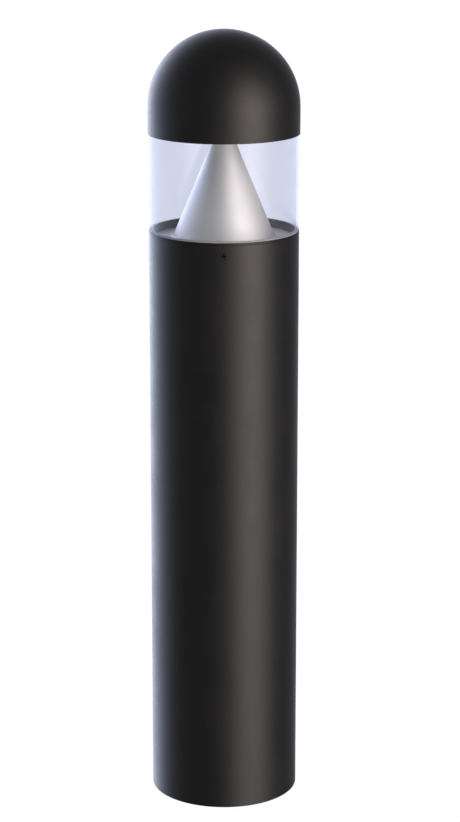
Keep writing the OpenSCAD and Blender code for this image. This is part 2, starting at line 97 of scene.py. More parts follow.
# %% Place the camera
CAMERA_PLACE = (0.0082, -3.3106, 1.4130)
LOOKS_DOWN = math.radians(14.704)
LENS_LENGTH, SENSOR_WIDTH = 108.87, 36  # millimetres

camera_data = bpy.data.cameras.new("camera")
camera_data.lens = LENS_LENGTH
camera_data.sensor_width = SENSOR_WIDTH
camera = bpy.data.objects.new("camera", camera_data)
camera.location = CAMERA_PLACE
camera.rotation_euler = (math.pi / 2 - LOOKS_DOWN, 0, 0)
bpy.context.scene.collection.objects.link(camera)
bpy.context.scene.camera = camera
bpy.context.scene.view_settings.view_transform = "Standard"
print("camera", round(camera_data.lens, 1), "mm lens")


# %% [markdown]
# ## Turning pieces
# Almost everything on this lamp is round, because it is rolled, spun, turned or moulded round one
# axis. A cylinder could be pushed into shape, but a lathe is closer to how the pieces are made: the
# half-section is drawn as a line, its corners are rounded, and the line is spun about the axis. A
# corner is rounded before the spin, so that one small arc rounds the whole edge.

# %% Select one piece
def only(piece):
    """Selects one piece and nothing else."""
    bpy.ops.object.select_all(action="DESELECT")
    piece.select_set(True)
    bpy.context.view_layer.objects.active = piece


# %% Select parts of a piece in edit mode
def pick(piece, test, kind="VERT"):
    """In edit mode, selects the points or faces whose middle and normal pass the test."""
    bpy.ops.mesh.select_mode(type=kind)
    bpy.ops.mesh.select_all(action="DESELECT")
    mesh = bmesh.from_edit_mesh(piece.data)
    for part in mesh.verts if kind == "VERT" else mesh.faces:
        middle = part.co if kind == "VERT" else part.calc_center_median()
        if test(middle, part.normal):
            part.select_set(True)
    mesh.select_flush_mode()
    bmesh.update_edit_mesh(piece.data)


# %% Draw a line of points
def draw(name, points, closed=False):
    """Draws a line through points in metres, and leaves it in edit mode."""
    bpy.ops.object.select_all(action="DESELECT")
    bpy.ops.mesh.primitive_plane_add(size=MM)
    piece = bpy.context.object
    piece.name = piece.data.name = name
    bpy.ops.object.mode_set(mode="EDIT")
    bpy.ops.mesh.select_mode(type="VERT")
    bpy.ops.mesh.merge(type="CENTER")
    bpy.ops.transform.translate(value=points[0])
    route = list(points) + [points[0]] * closed
    for here, there in zip(route, route[1:]):
        step = Vector(there) - Vector(here)
        bpy.ops.mesh.extrude_vertices_move(TRANSFORM_OT_translate={"value": step})
    bpy.ops.mesh.select_all(action="SELECT")
    bpy.ops.mesh.remove_doubles(threshold=MM / 1000)
    return piece


# %% Round the corners of a drawn line
def round_corners(piece, corners, segments=4):
    """Rounds each corner, given as a point in metres and how far the arc reaches along each side."""
    for place, reach in corners:
        pick(piece, lambda middle, normal: (middle - Vector(place)).length < MM / 500)
        bpy.ops.mesh.bevel(offset=reach, segments=segments, affect="VERTICES")


# %% Spin a half-section
def lathe(name, outline, steps=256, closed=True):
    """Spins (radius, height) or (radius, height, rounding) corners, in millimetres, round the Z axis.
    An outline that isn't closed starts and ends on the axis."""
    places = [(corner[0] * MM, 0, corner[1] * MM) for corner in outline]
    piece = draw(name, places, closed)
    round_corners(piece, [(p, c[2] * MM) for p, c in zip(places, outline) if len(c) > 2])
    bpy.ops.mesh.select_all(action="SELECT")
    bpy.ops.mesh.spin(steps=steps, angle=2 * math.pi, center=(0, 0, 0), axis=(0, 0, 1))
    bpy.ops.mesh.select_all(action="SELECT")
    bpy.ops.mesh.remove_doubles(threshold=MM / 1000)
    bpy.ops.mesh.normals_make_consistent(inside=False)
    bpy.ops.object.mode_set(mode="OBJECT")
    return piece


# %% [markdown]
# ## Joining, cutting and smoothing
# Bosses, screw holes and recesses break the roundness. They are made as tools in their own right and
# joined to or cut out of the turned piece, as a foundry or a drill would. At the end the shading is
# smoothed where faces meet softly, and weighted by their size, so that a wide wall stays true right
# up to its rounded edge.

# %% Move a piece into place for good
def settle(piece, turn=(0, 0, 0), place=(0, 0, 0)):
    """Turns and moves a piece, and writes that into its mesh."""
    only(piece)
    piece.rotation_euler = [math.radians(angle) for angle in turn]
    piece.location = [value * MM for value in place]
    bpy.ops.object.transform_apply(location=True, rotation=True, scale=True)
    return piece


# %% Copy a piece
def copy_of(piece, name):
    """A copy of a piece, with a mesh of its own."""
    only(piece)
    bpy.ops.object.duplicate(linked=False)
    made = bpy.context.object
    made.name = made.data.name = name
    return made


# %% Combine two pieces
def combine(piece, tool, how="DIFFERENCE"):
    """Cuts a tool out of a piece, joins it on with UNION, or keeps what both share with INTERSECT."""
    only(piece)
    bpy.ops.object.modifier_add(type="BOOLEAN")
    work = piece.modifiers[-1]
    work.operation = how
    work.solver = "EXACT"
    work.object = tool
    bpy.ops.object.modifier_apply(modifier=work.name)
    bpy.data.objects.remove(tool)
    return piece


# %% Add a block or a rod as a tool
def block(name, low, high):
    """A block between two corners in millimetres."""
    bpy.ops.object.select_all(action="DESELECT")
    middle = [(a + b) / 2 * MM for a, b in zip(low, high)]
    bpy.ops.mesh.primitive_cube_add(size=1, location=middle)
    piece = bpy.context.object
    piece.name = name
    piece.scale = [(b - a) * MM for a, b in zip(low, high)]
    bpy.ops.object.transform_apply(location=True, rotation=True, scale=True)
    return piece


def rod(name, radius, low, high, x=0, y=0, steps=48):
    """An upright rod, in millimetres."""
    bpy.ops.object.select_all(action="DESELECT")
    bpy.ops.mesh.primitive_cylinder_add(vertices=steps, radius=radius * MM, depth=(high - low) * MM,
                                        location=(x * MM, y * MM, (low + high) / 2 * MM))
    piece = bpy.context.object
    piece.name = name
    bpy.ops.object.transform_apply(location=True, rotation=True, scale=True)
    return piece


# %% Smooth a finished mesh
def smooth(piece, angle=32):
    """Smooths the shading across soft edges, weighted by the size of the faces."""
    only(piece)
    bpy.ops.object.shade_smooth_by_angle(angle=math.radians(angle))
    bpy.ops.object.modifier_add(type="WEIGHTED_NORMAL")
    weights = piece.modifiers[-1]
    weights.keep_sharp = True
    weights.weight = 80
    bpy.ops.object.modifier_apply(modifier=weights.name)
    triangles = sum(len(face.vertices) - 2 for face in piece.data.polygons)
    print(f"{piece.name}: {triangles} triangles")
    return piece


# %% [markdown]
# ## Shaft
# A welded steel tube, 203.2 mm across with a 3.2 mm wall, cut square, its sharp edges filed off, and
# then powder coated. It is turned from its section, and two plain rings in the drawing keep the three
# screw holes from stretching their facets down the whole length. Each hole is drilled radially, and
# its mouth is slightly countersunk, which is what draws the thin ring round each screw.

# %% Turn the shaft and drill it
ring_low, ring_high = lock_height - 12, lock_height + 9
shaft = lathe("shaft", [
    (shaft_bore_r, 0, 0.5), (shaft_r, 0, 0.8), (shaft_r, ring_low),
    (shaft_r, ring_high), (shaft_r, shaft_top, 0.5), (shaft_bore_r, shaft_top, 0.4),
    (shaft_bore_r, ring_high), (shaft_bore_r, ring_low),
])
hole_r, mouth_r = lock_r + 0.05, lock_r + 0.6
for azimuth in LOCKS.values():
    drill = lathe("drill", [
        (0, shaft_bore_r - 5), (hole_r, shaft_bore_r - 5), (hole_r, shaft_r - 0.35),
        (mouth_r, shaft_r + 0.2), (mouth_r, shaft_r + 5), (0, shaft_r + 5),
    ], steps=72, closed=False)
    combine(shaft, settle(drill, (0, 90, azimuth), (0, 0, lock_height)))
smooth(shaft)


# %% [markdown]
# ## Lock screws
# Three threaded screws hold the head down. Each sits just below the coated surface, with a cross
# recess for the driver bit. The body is turned with its thread as fine grooves, and the recess is cut
# by two tapered blades that cross, like the tip of the bit that made it. The three screws are alike,
# so one is made upright on the axis, and then copied and laid into each hole.

# %% Make the blade that cuts a cross recess
def recess_blade(across, arm, depth, turn):
    """One arm of a cross recess about the Z axis: open at z = 0, and narrower at its bottom."""
    blade = block("blade", (-across / 2, -arm / 2, -depth), (across / 2, arm / 2, 2))
    bpy.ops.object.mode_set(mode="EDIT")
    pick(blade, lambda middle, normal: normal.z < -0.9, "FACE")
    bpy.ops.transform.resize(value=(0.85, 0.7, 1), center_override=(0, 0, -depth * MM))
    bpy.ops.object.mode_set(mode="OBJECT")
    return settle(blade, (0, 0, turn))


# %% Turn one lock screw and cut its recess
THREAD_PITCH, THREAD_DEPTH = 1.25, 0.55
RECESS_ACROSS, RECESS_ARM, RECESS_DEPTH = 7.0, 1.5, 3.2
first_crest, last_crest = lock_tip + 1.4, lock_face - 1.4
thread = []
for turn in range(int((last_crest - first_crest) / THREAD_PITCH)):
    crest = first_crest + turn * THREAD_PITCH
    thread += [(lock_r, crest), (lock_r, crest + 0.3 * THREAD_PITCH),
               (lock_r - THREAD_DEPTH, crest + 0.6 * THREAD_PITCH),
               (lock_r - THREAD_DEPTH, crest + 0.7 * THREAD_PITCH)]
pattern_screw = lathe("pattern_screw", [
    (0, lock_tip), (lock_r - 1.2, lock_tip, 0.2), *thread,
    (lock_r, last_crest), (lock_r, lock_face, 0.45), (0, lock_face),
], steps=96, closed=False)
for turn in (10, 100):
    blade = recess_blade(RECESS_ACROSS, RECESS_ARM, RECESS_DEPTH, turn)
    combine(pattern_screw, settle(blade, place=(0, 0, lock_face)))
print("thread turns:", len(thread) // 4)

# %% Copy the screw into its three holes
lock_screws = {}
for side, azimuth in LOCKS.items():
    screw = copy_of(pattern_screw, side + "_lock_screw")
    lock_screws[side] = smooth(settle(screw, (0, 90, azimuth), (0, 0, lock_height)))
bpy.data.objects.remove(pattern_screw)


# %% [markdown]
# ## Collar
# A casting that closes the top of the shaft. Its flange sits on the tube and ends flush with it, its
# lip centres the lens, and its skirt slides down inside the tube. Behind each lock screw it has a
# boss with a slot that is open below, so that the head lifts straight off once the screws are backed
# out. Four round bosses hang from its floor and take the bracket's screws.

# %% Turn the collar
SKIRT_GAP, SKIRT_WALL, COLLAR_FLOOR = 0.3, 2.5, 4
skirt_r = shaft_bore_r - SKIRT_GAP
skirt_bore_r = skirt_r - SKIRT_WALL
skirt_low = lowest("collar").z
floor_high = cone_low
floor_low = floor_high - COLLAR_FLOOR
stem_hole_r = 6.2
lip_high = collar_top + 1.5
collar = lathe("collar_casting", [
    (skirt_bore_r, skirt_low, 0.5), (skirt_r, skirt_low, 1.0), (skirt_r, shaft_top, 0.1),
    (shaft_r, shaft_top, 0.45), (shaft_r, collar_top, 0.6), (skirt_bore_r + 1.5, collar_top),
    (skirt_bore_r + 1.5, lip_high, 0.3), (skirt_bore_r, lip_high, 0.5),
    (skirt_bore_r, floor_high, 0.4), (stem_hole_r, floor_high, 0.3), (stem_hole_r, floor_low, 0.3),
    (skirt_bore_r, floor_low, 1.5),
])
print(f"collar: skirt {skirt_r:.1f} from {skirt_low:.1f}, floor {floor_low:.1f} to {floor_high:.1f}")

# %% Add the collar's bosses and cut its slots
BOSS_R, SCREW_HOLE_R = 6, 2.55
slot_r = lock_tip - 0.3
boss_side, slot_side = 10, 6
slot_high = lock_height + lock_r + 0.5
for azimuth in LOCKS.values():
    boss = block("boss", (slot_r - 3, -boss_side, skirt_low),
                 (skirt_bore_r + 1, boss_side, floor_low + 1))
    combine(collar, settle(boss, (0, 0, azimuth)), "UNION")
for x in (-22, 22):
    for y in (-40, 22):
        combine(collar, rod("boss", BOSS_R, floor_low - 8, floor_low + 1, x, y), "UNION")
        combine(collar, rod("drill", SCREW_HOLE_R, floor_low - 9, floor_low + 2, x, y, 32))
for azimuth in LOCKS.values():
    slot = block("slot", (slot_r, -slot_side, skirt_low - 1), (slot_r + 10, slot_side, slot_high))
    combine(collar, settle(slot, (0, 0, azimuth)))
smooth(collar)


# %% [markdown]
# ## Lens and its seals
# A clear tube with a 3.2 mm wall, its cut ends flame polished. A silicone ring under it and another
# over it keep the water out. The rings are squeezed a little by the tie rod, so their edges bulge,
# and the lower one has a thin tongue that folds over the collar's lip and cushions the lens.

# %% Turn the lens
lens = lathe("lens_tube", [
    (lens_bore_r, lens_low, 0.5), (lens_r, lens_low, 0.5),
    (lens_r, lens_high, 0.5), (lens_bore_r, lens_high, 0.5),
])
smooth(lens)

# %% Turn the two seals
def seal(name, low, high, inner_side):
    """A silicone ring between two heights, with rounded edges and a slight outward bulge."""
    middle = (low + high) / 2
    return smooth(lathe(name, [
        (lens_r - 0.1, low, 0.2), (lens_r + 0.15, middle, 0.3), (lens_r - 0.1, high, 0.2), *inner_side,
    ]))


CLEAR = 0.02
lip_r = lens_bore_r - 0.3
tongue_r, tongue_high = lip_r - 1.45, lip_high + 0.25
tongue = [
    (lens_bore_r - CLEAR, lens_low), (lens_bore_r - CLEAR, tongue_high, 0.15),
    (tongue_r, tongue_high, 0.1), (tongue_r, lip_high + CLEAR),
    (lip_r + CLEAR, lip_high + CLEAR), (lip_r + CLEAR, collar_top),
]
lower_seal = seal("lower_lens_seal", collar_top, lens_low, tongue)
seal_high = highest("lens_gasket_upper").z
upper_seal = seal("upper_lens_seal", lens_high, seal_high,
                  [(lens_bore_r + 0.1, seal_high), (lens_bore_r + 0.1, lens_high)])


# %% [markdown]
# ## Reflector cone
# One sheet of aluminium, pressed over a former on a spinning lathe. The tool leaves a small round
# fillet where the cone runs out into its flat brim, and faint rings all the way up. The rings are in
# the finish, and the fillet and the sheet's thickness are in the mesh.

# %% Spin the cone
SHEET = 1.5
cone_foot_r, cone_tip_r = 69, 9
brim_high = cone_low + SHEET
cone_slope = (cone_foot_r - cone_tip_r) / (cone_high - brim_high)
cone_wall = SHEET * math.hypot(1, cone_slope)
cone = lathe("spun_cone", [
    (cone_foot_r - cone_wall + SHEET * cone_slope, cone_low, 6), (brim_r, cone_low, 0.3),
    (brim_r, brim_high, 0.5), (cone_foot_r, brim_high, 4.5), (cone_tip_r, cone_high, 0.3),
    (cone_tip_r - cone_wall, cone_high, 0.3),
])
smooth(cone)


# %% [markdown]
# ## Dome
# A die casting with a straight side and a half-round crown. Its rim is thicker, with a groove that
# takes the lens and its seal, and the outer edge is rounded just enough not to chip. Inside, three
# bosses hang down for the screws that hold the heat sink.

# %% Draw a quarter round
def quarter(radius, height, steps, rising=True):
    """Points of a quarter circle about (0, height), from its side to its top or back again."""
    points = []
    for step in range(1, steps + 1):
        angle = math.radians(90 * step / steps)
        points.append((radius * math.cos(angle), height + radius * math.sin(angle)))
    points[-1] = (0, height + radius)
    return points if rising else points[::-1]


# %% Turn the dome
DOME_WALL = 3.5
crown = dome_high - dome_r
dome_bore_r = dome_r - DOME_WALL
groove_in, groove_out = lens_bore_r - 0.3, lens_r + 0.3
groove_high, rim_high = dome_low + 3, dome_low + 7.5
rim_in = groove_in - 2.6
dome = lathe("dome_casting", [
    *quarter(dome_bore_r, crown, 40, rising=False), (dome_bore_r, crown),
    (dome_bore_r, rim_high, 1), (rim_in, rim_high, 0.5), (rim_in, dome_low, 0.6),
    (groove_in, dome_low, 0.3), (groove_in, groove_high), (groove_out, groove_high),
    (groove_out, dome_low, 0.3), (dome_r, dome_low, 0.7), (dome_r, crown),
    *quarter(dome_r, crown, 48),
], closed=False)
print(f"dome: straight from {dome_low:.1f} to {crown:.1f}, round above")

# %% Add the dome's bosses
DOME_BOSS_RING = 82
sink_top = highest("wire_grommet").z - 1.5
ball_r = dome_bore_r + 1
for azimuth in (90, 210, 330):
    angle = math.radians(azimuth)
    x, y = DOME_BOSS_RING * math.cos(angle), DOME_BOSS_RING * math.sin(angle)
    boss = rod("boss", BOSS_R, sink_top, dome_high, x, y)
    ball = lathe("ball", [(0, sink_top - 5), (ball_r, sink_top - 5), (ball_r, crown),
                          *quarter(ball_r, crown, 40)], steps=128, closed=False)
    combine(boss, ball, "INTERSECT")
    combine(dome, boss, "UNION")
    combine(dome, rod("drill", SCREW_HOLE_R, sink_top - 2, sink_top + 18, x, y, 32))
smooth(dome)


# %% [markdown]
# ## Light emitters
# Twelve surface-mounted packages look down from the board. Each is a small white tub with rounded
# edges, filled with yellow phosphor. One is shaped from a cube, and the others are copies that are
# turned round the ring and joined into one piece.

# %% Shape one emitter and copy it round the ring
LED_RING, LED_SIDE, LED_HEIGHT, LED_COUNT = 50, 5, 2, 12
board_low = highest("leds").z
tub_low = board_low - LED_HEIGHT
half = LED_SIDE / 2
pattern_tub = block("pattern_tub", (LED_RING - half, -half, tub_low),
                    (LED_RING + half, half, board_low))
bpy.ops.object.mode_set(mode="EDIT")
pick(pattern_tub, lambda middle, normal: normal.z < -0.9, "FACE")
bpy.ops.mesh.inset(thickness=0.6 * MM)
bpy.ops.mesh.extrude_region_move(TRANSFORM_OT_translate={"value": (0, 0, 0.5 * MM)})
bpy.ops.transform.resize(value=(0.88, 0.88, 1), center_override=(LED_RING * MM, 0, 0))
pick(pattern_tub, lambda middle, normal: normal.z < -0.9 and middle.z > (tub_low + 0.1) * MM, "FACE")
bpy.ops.mesh.inset(thickness=0.4 * MM, depth=-0.15 * MM)
bpy.ops.object.mode_set(mode="OBJECT")
tubs = [settle(copy_of(pattern_tub, "emitter"), (0, 0, 360 * (place + 0.5) / LED_COUNT))
        for place in range(LED_COUNT)]
bpy.data.objects.remove(pattern_tub)
print("emitters:", len(tubs))

# %% Join the emitters and soften their edges
emitters = tubs[0]
only(emitters)
for tub in tubs[1:]:
    tub.select_set(True)
bpy.ops.object.join()
emitters.name = emitters.data.name = "light_emitters"
bpy.ops.object.modifier_add(type="BEVEL")
emitters.modifiers[-1].width = 0.15 * MM
emitters.modifiers[-1].segments = 2
bpy.ops.object.modifier_apply(modifier=emitters.modifiers[-1].name)
smooth(emitters)


# %% [markdown]
# ## Lamp connector
# The two lamp wires end in a small push-in housing under the board. It is shaped from a cube: a ledge
# is drawn in round its mouth, its edges are softened, and two square release slots are cut.

# %% Shape the lamp connector
LEDGE_WIDTH, LEDGE_DEPTH, SOFT_EDGE = 0.7, 0.4, 0.25
plug_low, plug_high = lowest("led_connector"), highest("led_connector")
connector = block("lamp_connector", plug_low, plug_high)
bpy.ops.object.mode_set(mode="EDIT")
pick(connector, lambda middle, normal: normal.z < -0.9, "FACE")
bpy.ops.mesh.inset(thickness=LEDGE_WIDTH * MM)
bpy.ops.mesh.extrude_region_move(TRANSFORM_OT_translate={"value": (0, 0, LEDGE_DEPTH * MM)})
bpy.ops.object.mode_set(mode="OBJECT")
only(connector)
bpy.ops.object.modifier_add(type="BEVEL")
connector.modifiers[-1].width = SOFT_EDGE * MM
connector.modifiers[-1].segments = 3
bpy.ops.object.modifier_apply(modifier=connector.modifiers[-1].name)

# %% Cut the connector's release slots
SLOT_HALF, SLOT_DEPTH = 0.6, 1.6
plug_middle = (plug_low + plug_high) / 2
for side in (-1, 1):
    x, y = plug_middle.x + side * 0.2 * (plug_high.x - plug_low.x), plug_middle.y
    slot = block("release_slot", (x - SLOT_HALF, y - SLOT_HALF, plug_low.z - 1),
                 (x + SLOT_HALF, y + SLOT_HALF, plug_low.z + SLOT_DEPTH))
    combine(connector, slot)
smooth(connector)


# %% [markdown]
# ## Wires
# Each inner wire has a stranded core in a PVC sleeve. They are drawn as routes whose corners are
# rounded, then given their round section by a curve, which keeps the sleeve even through each bend.

# %% Draw a wire along its route
def wire(name, route, diameter, reach):
    """A round wire through points in millimetres, its bends rounded over a reach."""
    places = [tuple(value * MM for value in point) for point in route]
    piece = draw(name, places)
    round_corners(piece, [(place, reach * MM) for place in places[1:-1]], segments=8)
    bpy.ops.object.mode_set(mode="OBJECT")
    only(piece)
    bpy.ops.object.convert(target="CURVE")
    piece = bpy.context.object
    piece.data.bevel_depth = diameter / 2 * MM
    piece.data.bevel_resolution = 3
    piece.data.use_fill_caps = True
    bpy.ops.object.convert(target="MESH")
    piece = bpy.context.object
    piece.name = piece.data.name = name
    bpy.ops.object.mode_set(mode="EDIT")
    bpy.ops.mesh.select_all(action="SELECT")
    bpy.ops.mesh.remove_doubles(threshold=MM / 1000)
    bpy.ops.mesh.normals_make_consistent(inside=False)
    bpy.ops.object.mode_set(mode="OBJECT")
    return smooth(piece, 60)


# %% Find where the wires start and end
MAINS_WIRE, MAINS_BEND = 2.4, 6
LAMP_WIRE, LAMP_BEND = 2, 7
driver_low, driver_high = lowest("driver").z + 10, highest("driver").z - 10
inlet_y = lowest("driver").y + 15
block_high, pole_y = highest("terminal_block").z, highest("terminal_block").y - 9
stem_low, stem_high = lowest("stem").z, highest("stem").z
board_z = lowest("led_board").z
bond_x, bond_y = 25, highest("driver").y - 2.2
print(f"driver {driver_low:.1f} to {driver_high:.1f}, stem {stem_low:.1f} to {stem_high:.1f}, "
      f"board {board_z:.1f}")


# %% Run the wires
def mains_wire(name, x):
    """A wire from a terminal up into the driver."""
    return wire(name, [(x, pole_y, block_high), (x, pole_y, block_high + 14),
                       (x, inlet_y, driver_low - 14), (x, inlet_y, driver_low)],
                MAINS_WIRE, MAINS_BEND)


def lamp_wire(name, offset, crest):
    """A wire from the driver up through the stem, over the heat sink and down to the board."""
    drop = 30 - offset * 1.2
    return wire(name, [
        (offset * 5, inlet_y, driver_high), (offset * 5, inlet_y, driver_high + 20),
        (offset, 0, stem_low - 16), (offset, 0, crest), (drop, 0, crest), (drop, 0, board_z),
    ], LAMP_WIRE, LAMP_BEND)


line = mains_wire("line_lead", -10)
neutral = mains_wire("neutral_lead", 0)
bond = wire("bond_lead", [(10, pole_y, block_high), (10, pole_y, block_high + 22),
                          (bond_x, bond_y, block_high + 22),
                          (bond_x, bond_y, highest("bond_terminal").z)],
            MAINS_WIRE, MAINS_BEND)
positive = lamp_wire("lamp_lead_positive", 1.3, stem_high + 16)
negative = lamp_wire("lamp_lead_negative", -1.3, stem_high + 23)


# %% [markdown]
# ## Finishes
# Every finish is a small network of nodes on the piece's own coordinates in metres, so its grain is
# the same size on a screw as on the shaft. These helpers keep the networks short: each starts from
# the plain shader and adds a noise, a mix or a bump to it.

# %% Start a finish
class Finish:
    """A material with a few short ways to build its nodes."""

    def __init__(self, name, metallic=0.0, roughness=0.5, ior=1.5, **sockets):
        self.material = bpy.data.materials.new(name)
        self.material.use_nodes = True
        self.tree = self.material.node_tree
        self.shader = self.tree.nodes["Principled BSDF"]
        self.shader.inputs["Metallic"].default_value = metallic
        self.shader.inputs["Roughness"].default_value = roughness
        self.shader.inputs["IOR"].default_value = ior
        for socket, value in sockets.items():
            self.shader.inputs[socket.replace("_", " ")].default_value = value
        self.place = self.node("ShaderNodeTexCoord").outputs["Object"]

    def node(self, kind, **settings):
        made = self.tree.nodes.new(kind)
        for name, value in settings.items():
            setattr(made, name, value)
        return made

    def put(self, source, target):
        """Links an output to an input, or writes a plain value there."""
        if isinstance(source, bpy.types.NodeSocket):
            self.tree.links.new(source, target)
        else:
            target.default_value = source

    def math(self, operation, *values, clamp=False):
        made = self.node("ShaderNodeMath", operation=operation, use_clamp=clamp)
        for value, socket in zip(values, made.inputs):
            self.put(value, socket)
        return made.outputs[0]

    def noise(self, scale, detail=3.0, roughness=0.5, stretch=(1, 1, 1), distortion=0.0, at=None):
        """Noise of about scale cells to a metre, squeezed along each axis by stretch."""
        squeeze = self.node("ShaderNodeMapping")
        squeeze.inputs["Scale"].default_value = stretch
        self.put(at or self.place, squeeze.inputs["Vector"])
        made = self.node("ShaderNodeTexNoise")
        self.put(squeeze.outputs[0], made.inputs["Vector"])
        for name, value in (("Scale", scale), ("Detail", detail), ("Roughness", roughness),
                            ("Distortion", distortion)):
            made.inputs[name].default_value = value
        return made.outputs["Fac"]

    def band(self, source, low, high, to_low=0.0, to_high=1.0):
        """Maps a range of a value to another range, softly."""
        made = self.node("ShaderNodeMapRange", interpolation_type="SMOOTHSTEP")
        for value, socket in zip((source, low, high, to_low, to_high), made.inputs):
            self.put(value, socket)
        return made.outputs[0]

    def blend(self, amount, first, second):
        """A mix of two colours."""
        made = self.node("ShaderNodeMix", data_type="RGBA")
        for value, name in ((amount, 0), (first, 6), (second, 7)):
            value = (*value, 1) if isinstance(value, tuple) and len(value) == 3 else value
            self.put(value, made.inputs[name])
        return made.outputs[2]

    def bump(self, height, depth, strength=1.0, under=None):
        """Raises the surface by a height from 0 to 1, times a depth in metres."""
        made = self.node("ShaderNodeBump")
        made.inputs["Strength"].default_value = strength
        made.inputs["Distance"].default_value = depth
        self.put(height, made.inputs["Height"])
        if under:
            self.put(under, made.inputs["Normal"])
        return made.outputs[0]

    def set(self, **sockets):
        """Feeds the shader's sockets."""
        for socket, value in sockets.items():
            self.put(value, self.shader.inputs[socket.replace("_", " ")])
        return self.material


# %% [markdown]
# ### Black powder coat
# Powder is sprayed on dry and baked, and it flows into a skin that is smooth but never flat: a fine
# orange peel under a satin gloss. A little dust and handling make the sheen uneven. The casting
# under the same coat is rougher than the tube, so its peel is stronger. The wall of the collar's
# recess has the same black coat but looks greyer than the rest, so it gets a lighter mix as painted
# light, standing in for the light that reaches that wall through the lens.

# %% Mix the powder coats
def powder_coat(name, peel, depth, dark=(0.0080, 0.0080, 0.0087), light=(0.0115, 0.0112, 0.0112)):
    coat = Finish(name, roughness=0.38)
    cloud = coat.noise(14, 4, 0.6)
    dust = coat.noise(160, 3, 0.7)
    colour = coat.blend(coat.band(cloud, 0.35, 0.7), dark, light)
    colour = coat.blend(coat.band(dust, 0.62, 0.8, 0.0, 0.25), colour, (0.03, 0.03, 0.03))
    shine = coat.math("ADD", coat.band(cloud, 0.3, 0.75, 0.33, 0.39),
                      coat.band(dust, 0.3, 0.8, 0.0, 0.05))
    skin = coat.bump(coat.noise(peel, 2, 0.5), depth)
    return coat.set(Base_Color=colour, Roughness=shine, Normal=skin)


shaft_coat = powder_coat("shaft_powder_coat", 650, 0.00003)
casting_coat = powder_coat("casting_powder_coat", 520, 0.00004)
# painted light: the black coat mixed light grey for the recess wall, standing in for the light that
# reaches it through the lens
painted_light_recess_coat = powder_coat("recess_coat_with_painted_light", 520, 0.00004,
                          dark=(0.15, 0.15, 0.156), light=(0.17, 0.17, 0.176))
print("coats:", shaft_coat.name, casting_coat.name, painted_light_recess_coat.name)


# %% [markdown]
# ### Spun aluminium
# The spinning tool runs up the sheet in one long spiral and leaves rings finer than a millimetre.
# The rings are noise that changes quickly with the distance along the sheet and hardly at all round
# it. That distance is taken as height less radius, which grows steadily both on the brim and up the
# cone. A light bead blast over them turns the mirror into satin.

# %% Mix the spun aluminium
def ring_metal(name, light, dark, roughness, rings, depth):
    metal = Finish(name, metallic=0.82)
    parts = metal.node("ShaderNodeSeparateXYZ")
    metal.put(metal.place, parts.inputs[0])
    x, y, z = parts.outputs
    radius = metal.math("SQRT", metal.math("ADD", metal.math("MULTIPLY", x, x),
                                           metal.math("MULTIPLY", y, y)))
    travel = metal.node("ShaderNodeCombineXYZ")
    metal.put(metal.math("SUBTRACT", z, radius), travel.inputs[0])
    metal.put(metal.math("MULTIPLY", x, 0.02), travel.inputs[1])
    metal.put(metal.math("MULTIPLY", y, 0.02), travel.inputs[2])
    ring = metal.noise(rings, 3, 0.65, at=travel.outputs[0])
    blast = metal.noise(1500, 2, 0.5)
    cloud = metal.noise(24, 3, 0.5)
    colour = metal.blend(metal.band(cloud, 0.3, 0.7), light, dark)
    shine = metal.math("ADD", metal.band(ring, 0.3, 0.7, roughness - 0.03, roughness + 0.03),
                       metal.band(cloud, 0.3, 0.7, -0.02, 0.02))
    skin = metal.bump(blast, depth * 0.25, under=metal.bump(ring, depth * 0.6))
    return metal.set(Base_Color=colour, Roughness=shine, Normal=skin)


spun_aluminium = ring_metal("spun_aluminium", light=(0.94, 0.91, 0.838), dark=(0.90, 0.872, 0.806),
                            roughness=0.53, rings=900, depth=0.000004)
print("cone:", spun_aluminium.name)


# %% [markdown]
# ### Clear tube
# The wall is thin, so what is behind it hardly shifts. It is made as a surface that lets light
# straight through with a faint lavender tint, which deepens at the edge, where the way through is
# long. Each face mirrors under three per cent head on and nearly six times that at the edge. A true
# bending glass would also work, but it would cost much longer renders for a shift of under a
# millimetre.

# %% Mix the clear finishes
MIRRORS_HEAD_ON, MIRRORS_MORE_AT_EDGE = 0.026, 0.12


def clear_wall(name, tint, roughness, haze):
    """A thin clear wall: through light in a tint, and a mirror that grows towards the edge."""
    wall = Finish(name)
    tree = wall.tree
    edge = wall.node("ShaderNodeLayerWeight")
    edge.inputs["Blend"].default_value = 0.5
    towards_edge = wall.math("POWER", edge.outputs["Facing"], 5.0)
    mirror_share = wall.math("ADD", MIRRORS_HEAD_ON,
                             wall.math("MULTIPLY", MIRRORS_MORE_AT_EDGE, towards_edge), clamp=True)
    smear = wall.noise(35, 4, 0.6, stretch=(1, 1, 0.4))
    through = wall.node("ShaderNodeBsdfTransparent")
    paler = tuple(min(1, value + haze) for value in tint)
    deeper = tuple(value * 0.95 for value in tint)
    body = wall.blend(wall.band(smear, 0.3, 0.7), tint, paler)
    long_way = wall.math("POWER", edge.outputs["Facing"], 4.0)
    wall.put(wall.blend(long_way, body, deeper), through.inputs["Color"])
    mirror = wall.node("ShaderNodeBsdfAnisotropic")
    wall.put(wall.band(smear, 0.3, 0.75, roughness, roughness * 2), mirror.inputs["Roughness"])
    mirror.inputs["Color"].default_value = (1, 1, 1, 1)
    mix = wall.node("ShaderNodeMixShader")
    wall.put(mirror_share, mix.inputs[0])
    wall.put(through.outputs[0], mix.inputs[1])
    wall.put(mirror.outputs[0], mix.inputs[2])
    tree.links.new(mix.outputs[0], tree.nodes["Material Output"].inputs["Surface"])
    tree.nodes.remove(wall.shader)
    return wall.material


clear_tube = clear_wall("clear_tube", (0.893, 0.905, 0.947), 0.03, 0.008)
clear_cover = clear_wall("clear_cover", (0.94, 0.95, 0.965), 0.08, 0.01)
print("clear:", clear_tube.name, clear_cover.name)


